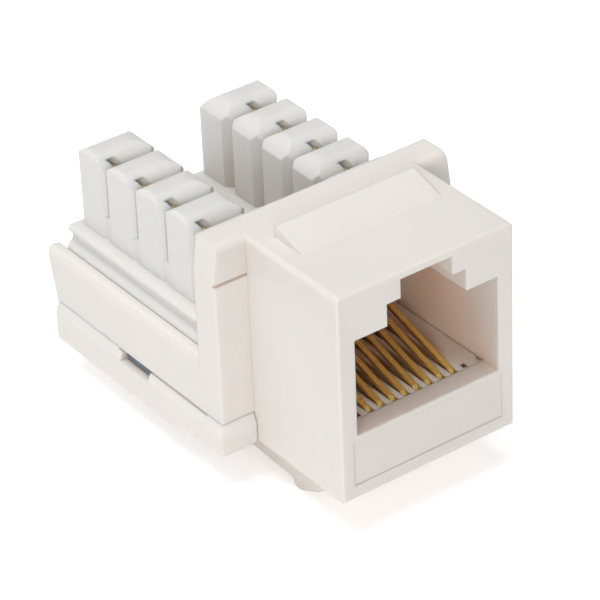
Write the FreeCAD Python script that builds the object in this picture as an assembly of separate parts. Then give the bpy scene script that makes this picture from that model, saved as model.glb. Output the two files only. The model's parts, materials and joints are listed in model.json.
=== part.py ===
"""RJ45 keystone jack with two rows of 110-type punch-down towers.

X runs across the jack, -Y is the port side, +Y the cable side and +Z the side
the towers stand on. The pieces are drawn with Y = 0 on the port face and Z = 0
under the port box, and write_piece() moves them to the row frame, whose origin
is the middle of the whole jack's footprint at the height of the latch hook.
All sizes are in millimetres.
"""
import FreeCAD, Part
import math
import os

V = FreeCAD.Vector

# --- driving dimensions ----------------------------------------------------
# port box
FACE_W = 14.65
FACE_H = 16.0
BOX_LOW = -0.2
FACE_ROUND = 0.35
FACE_EDGE = 0.15
PORT_W = 12.0
PORT_FLOOR = 4.8
PORT_TOP = 12.3
LIP_DEPTH = 1.6
BOX_FLOOR = 0.7
NOTCH_W = 6.6
NOTCH_TOP = 14.0
SLOT_W = 4.3
SLOT_TOP = 15.45
NOTCH_DEPTH = 9.0
LABEL_W = 12.6
LABEL_LOW = 0.85
LABEL_HIGH = 4.3
LABEL_DEPTH = 0.06

# stop flange and rear side walls
FLANGE_W = 20.0
FLANGE_FRONT = 9.9
FLANGE_BACK = 12.3
FLANGE_TOP = 16.0
HEAD_LOW = 13.25
HEAD_DRAFT = 0.35
GROOVE_H = 0.22
GROOVE_DEPTH = 0.25
SEAM_LOW = 2.0
SEAM_HIGH = 2.04
WALL_TOP = 6.2
WALL_T = 1.05
WALL_BACK_TOP = 31.1
WALL_BACK_LOW = 30.0

# fixed lug on top of the port box
LUG_W = 11.6
LUG_FRONT = 5.6
LUG_PEAK = 8.4
LUG_H = 0.9

# tower block
ROW_OUT = 7.7
ROW_IN = 2.9
ENTRY_X = 0.65
ENTRY_Y = 0.5
SLIT_COUNT = 4
SLIT_PITCH = 3.6
SLIT_FIRST = 15.65
SLIT_W = 0.32
SLIT_FLOOR = 9.65
TOWER_BACK = 29.75
ARCH_SPRING = 12.95
ARCH_TOP = 14.35
BLOCK_W = 17.8
BLOCK_LOW = 4.6
BLOCK_TOP = 7.9
BLOCK_FRONT = 12.4
BLOCK_BACK = 30.1

# forked blades in the tower slits
CLIP_X = 6.05
CLIP_T = 0.4
CLIP_W = 2.7
CLIP_TOP = 13.45
CLIP_TURN = -45.0
CLIP_FIT = 0.06
POCKET_TOP = 14.0

# circuit board
BOARD_LOW = 1.2
BOARD_T = 0.8
BOARD_TOP = BOARD_LOW + BOARD_T

# bottom cover
COVER_W = 20.6
COVER_FRONT = 9.6
COVER_BACK = 30.1
COVER_LOW_FRONT = -0.3
COVER_LOW_BACK = -1.3

# spring contacts of the port
WIRE_COUNT = 8
WIRE_PITCH = 1.016
WIRE_W = 0.4
WIRE_T = 0.3
BEND_Y = 2.5
BEND_Z = 4.15
BEND_R = 0.6
WIRE_RISE = 17.0
WIRE_END = 11.0
COMB_SLOT = 0.58
COMB_END = 11.0

# flexible latch
LATCH_W = 12.0
LATCH_ROOT = 1.6
LATCH_SLOPE = 0.79
LATCH_KNEE = 4.7
PIVOT_Y = 3.1
PIVOT_R = 0.35
PIVOT_GAP = 0.04
HOOK_Y = 6.9
HOOK_Z = -3.4
LATCH_END = 14.4

# the row frame's origin, in drawing coordinates
ORIGIN = V(0, WALL_BACK_TOP / 2, HOOK_Z)


# --- small helpers -----------------------------------------------------------
def block(x0, x1, y0, y1, z0, z1):
    """Axis-aligned box between two corners."""
    return Part.makeBox(x1 - x0, y1 - y0, z1 - z0, V(x0, y0, z0))


def prism_x(points, x0, x1):
    """(y, z) outline extruded along X."""
    wire = Part.makePolygon([V(x0, y, z) for y, z in points + points[:1]])
    return Part.Face(wire).extrude(V(x1 - x0, 0, 0))


def prism_y(points, y0, y1):
    """(x, z) outline extruded along Y."""
    wire = Part.makePolygon([V(x, y0, z) for x, z in points + points[:1]])
    return Part.Face(wire).extrude(V(0, y1 - y0, 0))


def prism_z(points, z0, z1):
    """(x, y) outline extruded along Z."""
    wire = Part.makePolygon([V(x, y, z0) for x, y in points + points[:1]])
    return Part.Face(wire).extrude(V(0, 0, z1 - z0))


def both_sides(shape):
    """The shape and its mirror image across X = 0."""
    return [shape, shape.mirror(V(0, 0, 0), V(1, 0, 0))]


def fillet_where(shape, radius, wanted):
    """Fillet the edges whose bounding box passes the given test."""
    edges = [e for e in shape.Edges if wanted(e.BoundBox)]
    return shape.makeFillet(radius, edges)


def write_piece(name, shape):
    """Check one piece, move it to the row frame and write its STEP file."""
    shape = shape.removeSplitter()
    shape.translate(ORIGIN * -1)
    solids = shape.Solids
    state = "ok" if shape.isValid() and len(solids) == 1 else "CHECK"
    size = shape.BoundBox
    print(f"{name:18s} {state} solids {len(solids)} volume {shape.Volume:8.2f} "
          f"x {size.XMin:.2f}..{size.XMax:.2f} y {size.YMin:.2f}..{size.YMax:.2f} "
          f"z {size.ZMin:.2f}..{size.ZMax:.2f}")
    solids[0].exportStep(f"parts/{name}.step")


# --- front housing -------------------------------------------------------------
def port_box():
    """Outer block of the port with its long edges rounded."""
    half = FACE_W / 2
    box = block(-half, half, 0, FLANGE_BACK, BOX_LOW, FACE_H)
    box = fillet_where(box, FACE_ROUND, lambda b: b.YLength > FLANGE_BACK - 0.1 and b.ZMin > FACE_H - 0.1)
    return fillet_where(box, FACE_EDGE, lambda b: b.YMax < 0.01)


def port_cavity():
    """Stepped opening for the plug and its latch, and the space under the floor."""
    half = PORT_W / 2
    main = block(-half, half, LIP_DEPTH, FLANGE_BACK + 1, BOX_FLOOR, PORT_TOP)
    mouth = block(-half, half, -1, LIP_DEPTH + 1, PORT_FLOOR, PORT_TOP)
    notch = block(-NOTCH_W / 2, NOTCH_W / 2, -1, NOTCH_DEPTH, PORT_TOP - 1, NOTCH_TOP)
    slot = block(-SLOT_W / 2, SLOT_W / 2, -1, NOTCH_DEPTH, NOTCH_TOP - 1, SLOT_TOP)
    return main.multiFuse([mouth, notch, slot])


def flange():
    """Stop flange: drafted head, shadow groove and the two wings."""
    half = FLANGE_W / 2
    head = prism_y([(-half, HEAD_LOW), (half, HEAD_LOW),
                    (half - HEAD_DRAFT, FLANGE_TOP), (-half + HEAD_DRAFT, FLANGE_TOP)],
                   FLANGE_FRONT, FLANGE_BACK)
    head = fillet_where(head, 0.7, lambda b: b.ZMin > FLANGE_TOP - 0.1 and b.YMax < FLANGE_FRONT + 0.1)
    neck = block(-half, half, FLANGE_FRONT + GROOVE_DEPTH, FLANGE_BACK, HEAD_LOW - GROOVE_H, HEAD_LOW)
    wing = block(-half, half, FLANGE_FRONT, FLANGE_BACK, SEAM_HIGH, HEAD_LOW - GROOVE_H)
    wing = fillet_where(wing, FACE_EDGE, lambda b: b.ZLength > 5 and b.YMax < FLANGE_FRONT + 0.1)
    return head.multiFuse([neck, wing])


def side_wall():
    """Rear side wall on +X, with a soft upper outside corner."""
    half = FLANGE_W / 2
    wall = prism_y([(half - WALL_T, SEAM_HIGH), (half, SEAM_HIGH), (half, 5.2), (half - 0.06, 5.75),
                    (half - 0.22, 6.1), (half - 0.5, WALL_TOP), (half - WALL_T, WALL_TOP - 0.08)],
                   FLANGE_BACK - 0.5, WALL_BACK_TOP)
    rear = prism_x([(WALL_BACK_LOW, SEAM_HIGH - 1), (WALL_BACK_TOP, WALL_TOP),
                    (WALL_BACK_TOP + 1, WALL_TOP), (WALL_BACK_TOP + 1, SEAM_HIGH - 1)], 0, half + 1)
    return wall.cut(rear)


def fixed_lug():
    """Wedge on the box top whose steep back hooks over the panel's edge."""
    half = LUG_W / 2
    return prism_x([(LUG_FRONT, FACE_H - 0.3), (LUG_FRONT, FACE_H), (LUG_PEAK, FACE_H + LUG_H),
                    (LUG_PEAK + 0.25, FACE_H + LUG_H), (LUG_PEAK + 0.35, FACE_H - 0.3)], -half, half)


def ramp_z(y):
    """Height of the latch's lower ramp at a depth y."""
    return LATCH_SLOPE * (LATCH_ROOT - y)


def pivot_z():
    """Height of the flex axis: the ramp is tangent to the round root of the arm."""
    return ramp_z(PIVOT_Y) + PIVOT_R * math.hypot(1, LATCH_SLOPE)


def tangent_y():
    """Depth at which the ramp touches the round root of the arm."""
    return PIVOT_Y - PIVOT_R * LATCH_SLOPE / math.hypot(1, LATCH_SLOPE)


def latch_root():
    """Front end of the latch, moulded to the box, hollowed for the arm's round end."""
    half = LATCH_W / 2
    root = prism_x([(LATCH_ROOT, 0), (LATCH_ROOT, 0.3), (PIVOT_Y, 0.3), (PIVOT_Y, pivot_z()),
                    (tangent_y(), ramp_z(tangent_y()))], -half, half)
    socket = Part.makeCylinder(PIVOT_R + PIVOT_GAP, LATCH_W + 2, V(-half - 1, PIVOT_Y, pivot_z()), V(1, 0, 0))
    return root.cut(socket)


def label_recess():
    """Shallow bare panel on the lip below the port."""
    return block(-LABEL_W / 2, LABEL_W / 2, -1, LABEL_DEPTH, LABEL_LOW, LABEL_HIGH)


def front_housing():
    """Port box, flange, lug, latch root and rear side walls in one moulding."""
    body = port_box().multiFuse([flange(), fixed_lug(), latch_root()] + both_sides(side_wall()))
    return body.cut(port_cavity()).cut(label_recess())


# --- flexible latch ------------------------------------------------------------
def latch_arm():
    """Arm with its hook, from the round root to the free end under the cover."""
    half = LATCH_W / 2
    top = pivot_z() + PIVOT_R * 0.8
    outline = [(tangent_y(), ramp_z(tangent_y())), (LATCH_KNEE, ramp_z(LATCH_KNEE)),
               (HOOK_Y - 0.35, HOOK_Z + 0.08), (HOOK_Y, HOOK_Z), (7.3, HOOK_Z + 0.05),
               (7.65, -2.75), (9.7, -2.72), (12.6, -2.55), (LATCH_END - 0.3, -2.45), (LATCH_END, -2.2),
               (LATCH_END, -1.85), (LATCH_END - 0.3, -1.6), (9.5, -1.75), (6.2, -1.6),
               (PIVOT_Y + 0.3, top - 0.1), (PIVOT_Y, pivot_z())]
    arm = prism_x(outline, -half, half)
    knuckle = Part.makeCylinder(PIVOT_R, LATCH_W, V(-half, PIVOT_Y, pivot_z()), V(1, 0, 0))
    return arm.fuse(knuckle)


# --- tower block ---------------------------------------------------------------
def slit_places():
    """Depths of the wire slits, front to back."""
    return [SLIT_FIRST + i * SLIT_PITCH for i in range(SLIT_COUNT)]


def tower_plan(y0, y1, chamfer_back):
    """Plan outline of a tower on +X: wedge-shaped entries on the channel side."""
    edge = 0.3
    outline = [(ROW_IN, y0 + ENTRY_Y), (ROW_IN + ENTRY_X, y0), (ROW_OUT - edge, y0), (ROW_OUT, y0 + edge),
               (ROW_OUT, y1 - edge), (ROW_OUT - edge, y1)]
    if chamfer_back:
        return outline + [(ROW_IN + ENTRY_X, y1), (ROW_IN, y1 - ENTRY_Y)]
    return outline + [(ROW_IN, y1)]


def tower_across(y0, y1):
    """Outline of a tower in YZ: a flattened arch, steep beside the slits."""
    mid = (y0 + y1) / 2
    flat = 0.35
    shoulder = 0.83
    run = (y1 - y0) / 2 - flat
    drop = ARCH_TOP - ARCH_SPRING
    fall = 0.42 * drop
    back = Part.Arc(V(0, y1, ARCH_SPRING), V(0, mid + flat + shoulder * run, ARCH_TOP - fall),
                    V(0, mid + flat, ARCH_TOP)).toShape()
    ridge = Part.makeLine(V(0, mid + flat, ARCH_TOP), V(0, mid - flat, ARCH_TOP))
    front = Part.Arc(V(0, mid - flat, ARCH_TOP), V(0, mid - flat - shoulder * run, ARCH_TOP - fall),
                     V(0, y0, ARCH_SPRING)).toShape()
    sides = Part.makePolygon([V(0, y0, ARCH_SPRING), V(0, y0, BLOCK_TOP - 1), V(0, y1, BLOCK_TOP - 1),
                              V(0, y1, ARCH_SPRING)])
    return Part.Face(Part.Wire([back, ridge, front] + sides.Edges)).extrude(V(ROW_OUT + 1, 0, 0))


def tower_along(y0, y1):
    """Outline of a tower in XZ: rounded down towards the channel, crisp outside."""
    low = BLOCK_TOP - 1
    start = y0 - 1
    inner = Part.Arc(V(ROW_IN, start, ARCH_TOP - 0.95), V(ROW_IN + 0.5, start, ARCH_TOP - 0.4),
                     V(ROW_IN + 1.7, start, ARCH_TOP)).toShape()
    ridge = Part.makeLine(V(ROW_IN + 1.7, start, ARCH_TOP), V(ROW_OUT - 0.5, start, ARCH_TOP))
    outer = Part.Arc(V(ROW_OUT - 0.5, start, ARCH_TOP), V(ROW_OUT - 0.13, start, ARCH_TOP - 0.1),
                     V(ROW_OUT, start, ARCH_TOP - 0.35)).toShape()
    sides = Part.makePolygon([V(ROW_OUT, start, ARCH_TOP - 0.35), V(ROW_OUT, start, low),
                              V(ROW_IN, start, low), V(ROW_IN, start, ARCH_TOP - 0.95)])
    return Part.Face(Part.Wire([inner, ridge, outer] + sides.Edges)).extrude(V(0, y1 - y0 + 2, 0))


def tower(y0, y1, chamfer_back):
    """One tower on +X: plan, cross and long outlines in common."""
    plan = prism_z(tower_plan(y0, y1, chamfer_back), BLOCK_TOP - 0.5, ARCH_TOP + 1)
    return plan.common(tower_across(y0, y1)).common(tower_along(y0, y1))


def tower_row():
    """The towers on +X, standing on a common foot."""
    edges = [BLOCK_FRONT - SLIT_W / 2] + slit_places() + [TOWER_BACK + SLIT_W / 2]
    towers = [tower(a + SLIT_W / 2, b - SLIT_W / 2, b < TOWER_BACK) for a, b in zip(edges, edges[1:])]
    foot = block(ROW_IN + ENTRY_X, ROW_OUT - 0.12, BLOCK_FRONT, TOWER_BACK - 0.5, BLOCK_TOP - 0.5, SLIT_FLOOR)
    return foot.multiFuse(towers)


def diagonal_slab(thick, width, z0, z1, x, y):
    """Upright slab across a slit at the blades' angle, the same way round in both rows."""
    slab = block(-width / 2, width / 2, -thick / 2, thick / 2, z0, z1)
    slab.rotate(V(0, 0, 0), V(0, 0, 1), CLIP_TURN)
    slab.translate(V(x, y, 0))
    return slab


def idc_block():
    """Block between the side walls: base, skirts and both tower rows."""
    half = BLOCK_W / 2
    side = [(half, BLOCK_LOW), (half, 6.15), (half - 0.12, 6.4), (half - 0.5, 6.75), (half - 0.52, 7.15),
            (half - 0.25, 7.45), (half - 0.22, 7.7), (half - 0.42, BLOCK_TOP)]
    base = prism_y(side + [(-x, z) for x, z in reversed(side)], BLOCK_FRONT, BLOCK_BACK)
    skirt = block(half - 0.7, half, BLOCK_FRONT, BLOCK_BACK, BOARD_TOP + 0.05, BLOCK_LOW + 0.5)
    rear = block(-half, half, BLOCK_BACK - 0.8, BLOCK_BACK, BOARD_TOP + 0.05, BLOCK_LOW + 0.5)
    body = base.multiFuse(both_sides(skirt) + [rear] + both_sides(tower_row()))
    thick = CLIP_T + 2 * CLIP_FIT
    width = CLIP_W + 2 * CLIP_FIT
    pockets = [diagonal_slab(thick, width, BLOCK_LOW - 1, POCKET_TOP, x, y)
               for y in slit_places() for x in (-CLIP_X, CLIP_X)]
    return body.cut(Part.makeCompound(pockets))


def idc_clip(x, y):
    """Forked blade: tines above, a shoulder in the block and a pin into the board."""
    blade = diagonal_slab(CLIP_T, CLIP_W, BLOCK_LOW + 0.1, CLIP_TOP, x, y)
    pin = diagonal_slab(CLIP_T, 0.6, BOARD_LOW - 0.3, BLOCK_LOW + 0.5, x, y)
    gap = diagonal_slab(CLIP_T * 2, 0.26, SLIT_FLOOR, CLIP_TOP + 1, x, y)
    low = CLIP_TOP - 0.8
    high = CLIP_TOP + 0.1
    mouth = prism_y([(-0.13, low), (0.13, low), (0.5, high), (-0.5, high)], -CLIP_T, CLIP_T)
    mouth.rotate(V(0, 0, 0), V(0, 0, 1), CLIP_TURN)
    mouth.translate(V(x, y, 0))
    return blade.fuse(pin).cut(gap).cut(mouth)


# --- bottom cover ----------------------------------------------------------------
def bottom_cover():
    """Tray that closes the body from below, flared below the seam."""
    half = COVER_W / 2
    side = prism_x([(COVER_FRONT, COVER_LOW_FRONT), (14.2, COVER_LOW_FRONT - 0.1), (17.2, COVER_LOW_BACK),
                    (COVER_BACK - 0.3, COVER_LOW_BACK + 0.1), (COVER_BACK, COVER_LOW_BACK + 0.4),
                    (COVER_BACK, SEAM_LOW), (FLANGE_FRONT + 0.02, SEAM_LOW),
                    (FLANGE_FRONT - 0.1, SEAM_LOW - 0.25), (COVER_FRONT, SEAM_LOW - 0.8)],
                   -half, half)
    flare = [(half - 0.3, COVER_LOW_BACK - 0.1), (half, COVER_LOW_BACK + 0.3), (half, SEAM_LOW - 0.7),
             (half - 0.2, SEAM_LOW - 0.3), (half - 0.3, SEAM_LOW)]
    end = prism_y(flare + [(-x, z) for x, z in reversed(flare)], COVER_FRONT - 1, COVER_BACK + 1)
    tray = side.common(end)
    box_w = FACE_W / 2 + 0.04
    spaces = [block(-box_w, box_w, 0, FLANGE_BACK + 0.05, -3, 3),
              block(-6.6, 6.6, FLANGE_BACK - 1, 15.4, -3, 0.35),
              block(-6.2, 6.2, FLANGE_BACK - 1, 13.5, BOARD_LOW - 0.05, 3),
              block(-8.2, 8.2, 13.2, 17.4, 0.6, 3),
              block(-8.2, 8.2, 17.4, 29.3, -0.5, 3),
              block(-9.05, 9.05, 13.2, 29.3, BOARD_LOW, 3),
              block(-half - 1, half + 1, 18.5, 21.9, BOARD_LOW, 3)]
    for side in (-1, 1):
        outer = block(9.75, half + 1, 11.7, 22.4, SEAM_LOW - 0.18, 3)
        spaces.append(outer if side > 0 else outer.mirror(V(0, 0, 0), V(1, 0, 0)))
    for space in spaces:
        tray = tray.cut(space)
    return tray


# --- circuit board -----------------------------------------------------------------
def wire_places():
    """X of each spring contact."""
    return [(i - (WIRE_COUNT - 1) / 2) * WIRE_PITCH for i in range(WIRE_COUNT)]


def foot_place(index):
    """Depth of a contact's solder foot: two staggered rows."""
    return 8.6 if index % 2 == 0 else 9.9


def circuit_board():
    """Board with its front tongue, side tabs and plated holes."""
    body = block(-8.95, 8.95, 13.3, 29.2, BOARD_LOW, BOARD_TOP)
    tongue = block(-5.85, 5.85, 6.0, 13.5, BOARD_LOW, BOARD_TOP)
    tabs = block(-9.75, 9.75, 18.7, 21.7, BOARD_LOW, BOARD_TOP)
    board = body.multiFuse([tongue, tabs])
    holes = [Part.makeCylinder(0.32, 3, V(x, foot_place(i), 0)) for i, x in enumerate(wire_places())]
    holes += [Part.makeCylinder(0.4, 3, V(x, y, 0)) for y in slit_places() for x in (-CLIP_X, CLIP_X)]
    return board.cut(Part.makeCompound(holes))


# --- contact carrier ------------------------------------------------------------------
def contact_carrier():
    """Insert that makes the port's floor and back wall, slotted for the wires."""
    half = PORT_W / 2 - 0.05
    floor = block(-half, half, LIP_DEPTH + 0.02, 12.2, BOARD_TOP + 0.05, PORT_FLOOR)
    wall = block(-half, half, 10.9, 12.2, PORT_FLOOR - 0.5, PORT_TOP - 0.05)
    body = floor.fuse(wall)
    low = BEND_Z - BEND_R - 0.35
    cuts = []
    for i, x in enumerate(wire_places()):
        x0 = x - COMB_SLOT / 2
        x1 = x + COMB_SLOT / 2
        foot = foot_place(i)
        cuts.append(block(x0, x1, LIP_DEPTH, COMB_END, low, PORT_FLOOR + 1))
        cuts.append(block(x0, x1, foot - 0.8, foot + 0.4, 0, low + 0.5))
        cuts.append(block(x0, x1, 10.8, 11.95, PORT_FLOOR + 0.2, PORT_FLOOR + 3.6))
    near = LIP_DEPTH + 0.1
    for x in (-half, -4.5 * WIRE_PITCH, 4.5 * WIRE_PITCH, half):
        cuts.append(block(x - 0.2, x + 0.2, near, near + 0.5, PORT_FLOOR - 0.6, PORT_FLOOR + 1))
    return body.cut(Part.makeCompound(cuts))


# --- spring contacts ---------------------------------------------------------------
def bend_point(x, radius, angle):
    """Point at a radius and angle about the front bend's centre."""
    turn = math.radians(angle)
    return V(x, BEND_Y + radius * math.cos(turn), BEND_Z + radius * math.sin(turn))


def bend_arc(x, radius, start, end):
    """Arc about the front bend's centre."""
    ends = [bend_point(x, radius, angle) for angle in (start, (start + end) / 2, end)]
    return Part.Arc(*ends).toShape()


def strip(edges, width):
    """Closed outline in the plane X = constant, extruded along X."""
    return Part.Face(Part.Wire(edges)).extrude(V(width, 0, 0))


def contact_tine(x):
    """Moving upper part of one spring contact: front bend, rising run and free tip."""
    left = x - WIRE_W / 2
    begin = 179.0
    top = 90.0 + WIRE_RISE
    outer = BEND_R + WIRE_T / 2
    inner = BEND_R - WIRE_T / 2
    rise = math.tan(math.radians(WIRE_RISE))
    lift = WIRE_T / math.cos(math.radians(WIRE_RISE))
    over = bend_point(left, outer, top)
    under = bend_point(left, inner, top)
    tip_over = V(left, WIRE_END, over.z + (WIRE_END - over.y) * rise)
    tip_under = V(left, WIRE_END, tip_over.z - lift)
    return strip([bend_arc(left, outer, begin, top), Part.makeLine(over, tip_over),
                  Part.makeLine(tip_over, tip_under), Part.makeLine(tip_under, under),
                  bend_arc(left, inner, top, begin),
                  Part.makeLine(bend_point(left, inner, begin), bend_point(left, outer, begin))], WIRE_W)


def contact_leg(x, foot):
    """Fixed lower part of one spring contact: half bend, run under the floor, solder foot."""
    left = x - WIRE_W / 2
    end = 181.0
    outer = BEND_R + WIRE_T / 2
    inner = BEND_R - WIRE_T / 2
    low_z = BEND_Z - outer
    high_z = BEND_Z - inner
    base = BOARD_LOW - 0.3
    points = [V(left, BEND_Y, low_z), V(left, foot - WIRE_T / 2, low_z), V(left, foot - WIRE_T / 2, base),
              V(left, foot + WIRE_T / 2, base), V(left, foot + WIRE_T / 2, high_z), V(left, BEND_Y, high_z)]
    run = Part.makePolygon(points).Edges
    return strip([bend_arc(left, outer, end, 270.0)] + run +
                 [bend_arc(left, inner, 270.0, end),
                  Part.makeLine(bend_point(left, inner, end), bend_point(left, outer, end))], WIRE_W)


# --- all pieces -------------------------------------------------------------------------
def main():
    os.makedirs("parts", exist_ok=True)
    write_piece("front_housing", front_housing())
    write_piece("idc_block", idc_block())
    write_piece("bottom_cover", bottom_cover())
    write_piece("latch_arm", latch_arm())
    write_piece("contact_carrier", contact_carrier())
    write_piece("circuit_board", circuit_board())
    for i, x in enumerate(wire_places()):
        write_piece(f"contact_tine_{i + 1}", contact_tine(x))
        write_piece(f"contact_leg_{i + 1}", contact_leg(x, foot_place(i)))
    places = [(x, y) for x in (-CLIP_X, CLIP_X) for y in slit_places()]
    for i, (x, y) in enumerate(places):
        write_piece(f"idc_clip_{i + 1}", idc_clip(x, y))
    print("flex axis, row frame", PIVOT_Y - ORIGIN.y, pivot_z() - ORIGIN.z)
    print("bend axis, row frame", BEND_Y - ORIGIN.y, BEND_Z - ORIGIN.z)


main()
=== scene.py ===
import json
import math

import bpy
from mathutils import Matrix, Vector

MM = 0.001

# the colour mix node's sockets, by number because their names repeat
MIX_FACTOR = 0
MIX_FIRST = 6
MIX_SECOND = 7
MIX_RESULT = 2

# camera
TARGET = Vector((-0.21, -1.55, 9.44)) * MM
AZIMUTH = math.radians(-35.4)
ELEVATION = math.radians(33.05)
ROLL = math.radians(-2.5)
DISTANCE = 227.9 * MM
LENS_MM = 197.4
SENSOR_MM = 36.0

# softboxes: name, place and side in metres, power in watts, colour
SOFTBOXES = [
    ("key", (-0.10, 0.05, 0.55), 0.35, 1.9, (1.0, 0.995, 0.985)),
    ("front_left_fill", (-0.45, -0.40, 0.31), 0.22, 0.74, (1.0, 0.985, 0.965)),
    ("port_fill", (-0.34, -0.46, 0.17), 0.14, 0.48, (1.0, 0.97, 0.94)),
]
LIGHT_AIM = Vector((0, 0, 0.008))
WORLD_COLOUR = (1.0, 0.99, 0.98, 1)
WORLD_STRENGTH = 0.39
FLOOR_HALF = 4.0
FLOOR_COLOUR = (0.94, 0.94, 0.94, 1)
FLOOR_GLOW = 0.08
FLOOR_GLOW_TO_CAMERA = 0.32

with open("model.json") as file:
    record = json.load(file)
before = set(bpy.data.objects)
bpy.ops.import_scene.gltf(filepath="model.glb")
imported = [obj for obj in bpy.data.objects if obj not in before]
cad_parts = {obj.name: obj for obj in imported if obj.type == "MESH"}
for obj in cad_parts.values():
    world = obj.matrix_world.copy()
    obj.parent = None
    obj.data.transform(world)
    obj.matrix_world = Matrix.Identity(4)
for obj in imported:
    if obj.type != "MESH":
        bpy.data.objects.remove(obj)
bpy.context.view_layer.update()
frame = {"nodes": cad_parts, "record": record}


# --- materials ---------------------------------------------------------------
class Shader:
    """Small helper that adds nodes to one material and links them."""

    def __init__(self, name):
        self.material = bpy.data.materials.new(name)
        self.material.use_nodes = True
        self.nodes = self.material.node_tree.nodes
        self.links = self.material.node_tree.links
        self.surface = self.nodes["Principled BSDF"]
        self.place = self.add("ShaderNodeTexCoord").outputs["Object"]

    def add(self, kind, **settings):
        node = self.nodes.new(kind)
        for key, value in settings.items():
            setattr(node, key, value)
        return node

    def link(self, source, target):
        self.links.new(source, target)

    def noise(self, size_mm, detail=3.0, rough=0.5, stretch=(1, 1, 1)):
        """Noise whose cells are about size_mm across."""
        mapping = self.add("ShaderNodeMapping")
        mapping.inputs["Scale"].default_value = stretch
        self.link(self.place, mapping.inputs["Vector"])
        node = self.add("ShaderNodeTexNoise")
        node.inputs["Scale"].default_value = 1 / (size_mm * MM)
        node.inputs["Detail"].default_value = detail
        node.inputs["Roughness"].default_value = rough
        self.link(mapping.outputs["Vector"], node.inputs["Vector"])
        return node.outputs["Fac"]

    def ramp(self, value, low, high, from_low=0.3, from_high=0.7):
        """Maps a 0-1 value to low..high."""
        node = self.add("ShaderNodeMapRange")
        node.inputs["From Min"].default_value = from_low
        node.inputs["From Max"].default_value = from_high
        node.inputs["To Min"].default_value = low
        node.inputs["To Max"].default_value = high
        self.link(value, node.inputs["Value"])
        return node.outputs["Result"]

    def mix(self, factor, first, second):
        """Mixes two colours, each a tuple or a socket."""
        node = self.add("ShaderNodeMix", data_type="RGBA")
        self.feed(node.inputs[MIX_FACTOR], factor)
        self.feed(node.inputs[MIX_FIRST], first)
        self.feed(node.inputs[MIX_SECOND], second)
        return node.outputs[MIX_RESULT]

    def feed(self, target, value):
        if isinstance(value, bpy.types.NodeSocket):
            self.link(value, target)
        elif isinstance(value, tuple):
            target.default_value = (*value, 1.0)
        else:
            target.default_value = value

    def edges(self, low=0.5, high=0.56):
        """Light to 1 on raised edges."""
        shape = self.add("ShaderNodeNewGeometry").outputs["Pointiness"]
        return self.ramp(shape, 0.0, 1.0, low, high)

    def hollows(self, reach_mm, samples=6):
        """1 in the open, falling towards 0 in corners and gaps."""
        node = self.add("ShaderNodeAmbientOcclusion", samples=samples)
        node.inputs["Distance"].default_value = reach_mm * MM
        return node.outputs["AO"]

    def relief(self, heights, soften_mm=0.0):
        """Adds bumps, given as (value, depth_mm), over a softened edge normal."""
        normal = None
        if soften_mm:
            bevel = self.add("ShaderNodeBevel", samples=6)
            bevel.inputs["Radius"].default_value = soften_mm * MM
            normal = bevel.outputs["Normal"]
        for value, depth in heights:
            bump = self.add("ShaderNodeBump")
            bump.inputs["Strength"].default_value = 1.0
            bump.inputs["Distance"].default_value = depth * MM
            self.link(value, bump.inputs["Height"])
            if normal:
                self.link(normal, bump.inputs["Normal"])
            normal = bump.outputs["Normal"]
        self.link(normal, self.surface.inputs["Normal"])


def moulded_plastic(name, colour, warm, painted_shade, painted_hollow_shade, rough=0.42, soften=0.18, glow=0.35,
                    reach=7.0, shade=0.62):
    """Satin moulded plastic: flow mottling, fine sparkle, painted shade in hollows, paler
    raised edges.

    The third colour is painted shade in narrow corners. The fourth colour is painted shade in
    wider
    hollows: places that are less than shade open, looking reach millimetres around.
    """
    s = Shader(name)
    cloud = s.noise(7.0, 3.0, 0.55)
    flow = s.noise(1.6, 4.0, 0.6, (1.0, 0.35, 1.0))
    grain = s.noise(0.09, 2.0, 0.6)
    body = s.mix(s.ramp(cloud, 0.0, 1.0), colour, warm)
    body = s.mix(s.ramp(flow, 0.0, 0.25), body, warm)
    open_air = s.hollows(1.6)
    # painted shade: narrow corners darken towards the third colour
    body = s.mix(s.ramp(open_air, 0.5, 0.0, 0.25, 0.9), body, painted_shade)
    # painted shade: wider hollows, such as the port, darken towards the fourth colour
    body = s.mix(s.ramp(s.hollows(reach), 0.9, 0.0, 0.1, shade), body, painted_hollow_shade)
    pale = tuple(min(1.0, c * 1.05) for c in colour)
    body = s.mix(s.ramp(s.edges(), 0.0, 0.6, 0.0, 1.0), body, pale)
    s.link(body, s.surface.inputs["Base Color"])
    s.feed(s.surface.inputs["Roughness"], s.ramp(flow, rough - 0.07, rough + 0.08))
    s.surface.inputs["Specular IOR Level"].default_value = 0.45
    s.surface.inputs["Subsurface Weight"].default_value = glow
    s.surface.inputs["Subsurface Radius"].default_value = (1.0, 0.62, 0.42)
    s.surface.inputs["Subsurface Scale"].default_value = 1.0 * MM
    s.relief([(cloud, 0.03), (flow, 0.012), (grain, 0.004)], soften)
    return s.material


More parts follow.
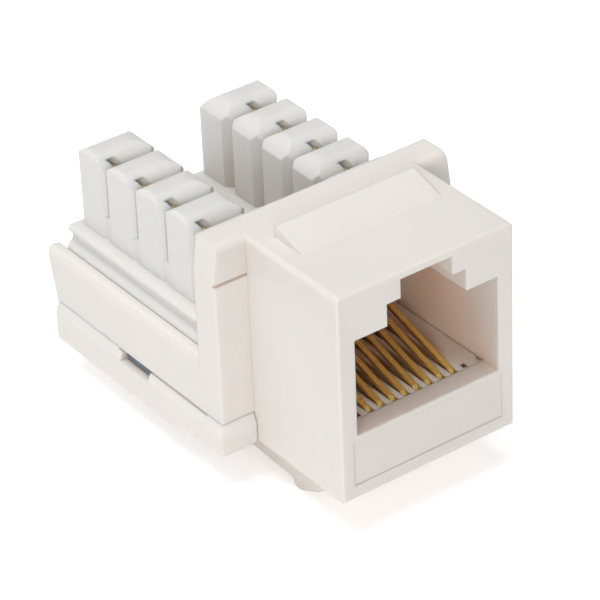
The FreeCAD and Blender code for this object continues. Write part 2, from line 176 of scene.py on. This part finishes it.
def plated_metal(name, colour, worn, painted_shade, rough, streak=(1.0, 0.12, 1.0), soften=0.05):
    """Drawn or stamped metal: streaks, dull patches, painted shade in hollows, brighter edges.
    """
    s = Shader(name)
    patch = s.noise(2.6, 3.0, 0.5)
    drawn = s.noise(0.12, 3.0, 0.6, streak)
    body = s.mix(s.ramp(patch, 0.0, 0.8), colour, worn)
    body = s.mix(s.ramp(drawn, 0.0, 0.35), body, worn)
    # painted shade: hollows up to 12 mm deep darken the metal towards the third colour
    body = s.mix(s.ramp(s.hollows(12.0), 1.0, 0.0, 0.1, 0.42), body, painted_shade)
    bright = tuple(min(1.0, c * 1.25) for c in colour)
    body = s.mix(s.ramp(s.edges(), 0.0, 0.7, 0.0, 1.0), body, bright)
    s.link(body, s.surface.inputs["Base Color"])
    s.surface.inputs["Metallic"].default_value = 1.0
    s.feed(s.surface.inputs["Roughness"], s.ramp(patch, rough - 0.06, rough + 0.12))
    s.relief([(drawn, 0.006), (patch, 0.006)], soften)
    return s.material


def laminate(name, mask, weave):
    """Solder-masked board with a faint glass weave and worn cut edges."""
    s = Shader(name)
    cloud = s.noise(2.5, 3.0, 0.5)
    cloth = s.noise(0.25, 2.0, 0.5)
    body = s.mix(s.ramp(cloud, 0.0, 1.0), mask, weave)
    body = s.mix(s.ramp(cloth, 0.0, 0.4), body, weave)
    body = s.mix(s.ramp(s.edges(), 0.0, 0.5, 0.0, 1.0), body, (0.25, 0.3, 0.38))
    s.link(body, s.surface.inputs["Base Color"])
    s.feed(s.surface.inputs["Roughness"], s.ramp(cloth, 0.25, 0.4))
    s.relief([(cloth, 0.008)], 0.05)
    return s.material


# the third and fourth colour of each plastic look and the third colour of each metal look are
# painted shade for corners and hollows
looks = {
    "housing_plastic": moulded_plastic(
        "housing_plastic_look", (0.76, 0.735, 0.71), (0.745, 0.715, 0.685),
        (0.78, 0.68, 0.60), (0.84, 0.61, 0.46), reach=14.0, shade=0.45),
    "cover_plastic": moulded_plastic(
        "cover_plastic_look", (0.765, 0.745, 0.725), (0.75, 0.72, 0.70),
        (0.70, 0.60, 0.53), (0.68, 0.58, 0.50)),
    "idc_plastic": moulded_plastic(
        "idc_plastic_look", (0.715, 0.715, 0.705), (0.70, 0.695, 0.68),
        (0.62, 0.60, 0.56), (0.66, 0.60, 0.55), rough=0.36),
    "carrier_plastic": moulded_plastic(
        "carrier_plastic_look", (0.86, 0.80, 0.73), (0.83, 0.76, 0.68),
        (0.60, 0.27, 0.14), (0.34, 0.12, 0.06), reach=9.0, shade=0.5),
    "board": laminate("board_look", (0.012, 0.022, 0.05), (0.03, 0.05, 0.09)),
    "contact_gold": plated_metal(
        "contact_gold_look", (1.0, 0.63, 0.19), (0.80, 0.42, 0.12), (0.34, 0.08, 0.02), 0.2,
        soften=0.2),
    "clip_brass": plated_metal(
        "clip_brass_look", (0.62, 0.54, 0.30), (0.44, 0.37, 0.20), (0.24, 0.20, 0.09), 0.34,
        (1.0, 1.0, 0.12)),
}
slots = {row["node"]: row["material_slot"] for row in frame["record"]["subparts"]}
for name, node in frame["nodes"].items():
    node.data.materials.clear()
    node.data.materials.append(looks[slots[name]])


# --- camera --------------------------------------------------------------------
def aim_camera():
    """Camera at the viewing angle, with its slight roll."""
    level = math.cos(ELEVATION)
    back = Vector((math.sin(AZIMUTH) * level, -math.cos(AZIMUTH) * level, math.sin(ELEVATION)))
    right = Vector((math.cos(AZIMUTH), math.sin(AZIMUTH), 0))
    up = back.cross(right)
    x = right * math.cos(ROLL) + up * math.sin(ROLL)
    y = up * math.cos(ROLL) - right * math.sin(ROLL)
    data = bpy.data.cameras.new("camera")
    data.lens = LENS_MM
    data.sensor_width = SENSOR_MM
    data.clip_start = 0.01
    data.clip_end = 20.0
    camera = bpy.data.objects.new("camera", data)
    bpy.context.collection.objects.link(camera)
    turn = Matrix((x, y, back)).transposed().to_4x4()
    camera.matrix_world = Matrix.Translation(TARGET + back * DISTANCE) @ turn
    bpy.context.scene.camera = camera


# --- light and floor -------------------------------------------------------------
def soft_light(name, place, size, power, colour):
    """Square softbox that looks at the middle of the object."""
    data = bpy.data.lights.new(name, "AREA")
    data.shape = "SQUARE"
    data.size = size
    data.energy = power
    data.color = colour
    light = bpy.data.objects.new(name, data)
    bpy.context.collection.objects.link(light)
    light.location = place
    light.rotation_euler = (LIGHT_AIM - light.location).to_track_quat("-Z", "Y").to_euler()


def studio():
    """Pale floor, white surroundings and three softboxes."""
    half = FLOOR_HALF
    corners = [(-half, -half, 0), (half, -half, 0), (half, half, 0), (-half, half, 0)]
    mesh = bpy.data.meshes.new("floor")
    mesh.from_pydata(corners, [], [(0, 1, 2, 3)])
    floor = bpy.data.objects.new("floor", mesh)
    bpy.context.collection.objects.link(floor)
    s = Shader("floor_look")
    s.surface.inputs["Base Color"].default_value = FLOOR_COLOUR
    s.surface.inputs["Roughness"].default_value = 0.8
    s.surface.inputs["Specular IOR Level"].default_value = 0.1
    s.surface.inputs["Emission Color"].default_value = (1, 1, 1, 1)
    lift = s.add("ShaderNodeMath", operation="MULTIPLY")
    lift.inputs[1].default_value = FLOOR_GLOW_TO_CAMERA
    s.link(s.add("ShaderNodeLightPath").outputs["Is Camera Ray"], lift.inputs[0])
    bounce = s.add("ShaderNodeMath", operation="ADD")
    bounce.inputs[1].default_value = FLOOR_GLOW
    s.link(lift.outputs[0], bounce.inputs[0])
    s.link(bounce.outputs[0], s.surface.inputs["Emission Strength"])
    mesh.materials.append(s.material)

    world = bpy.data.worlds.new("studio")
    bpy.context.scene.world = world
    world.use_nodes = True
    sky = world.node_tree.nodes["Background"]
    sky.inputs["Color"].default_value = WORLD_COLOUR
    sky.inputs["Strength"].default_value = WORLD_STRENGTH

    for box in SOFTBOXES:
        soft_light(*box)


aim_camera()
studio()
bpy.context.scene.view_settings.view_transform = "Standard"
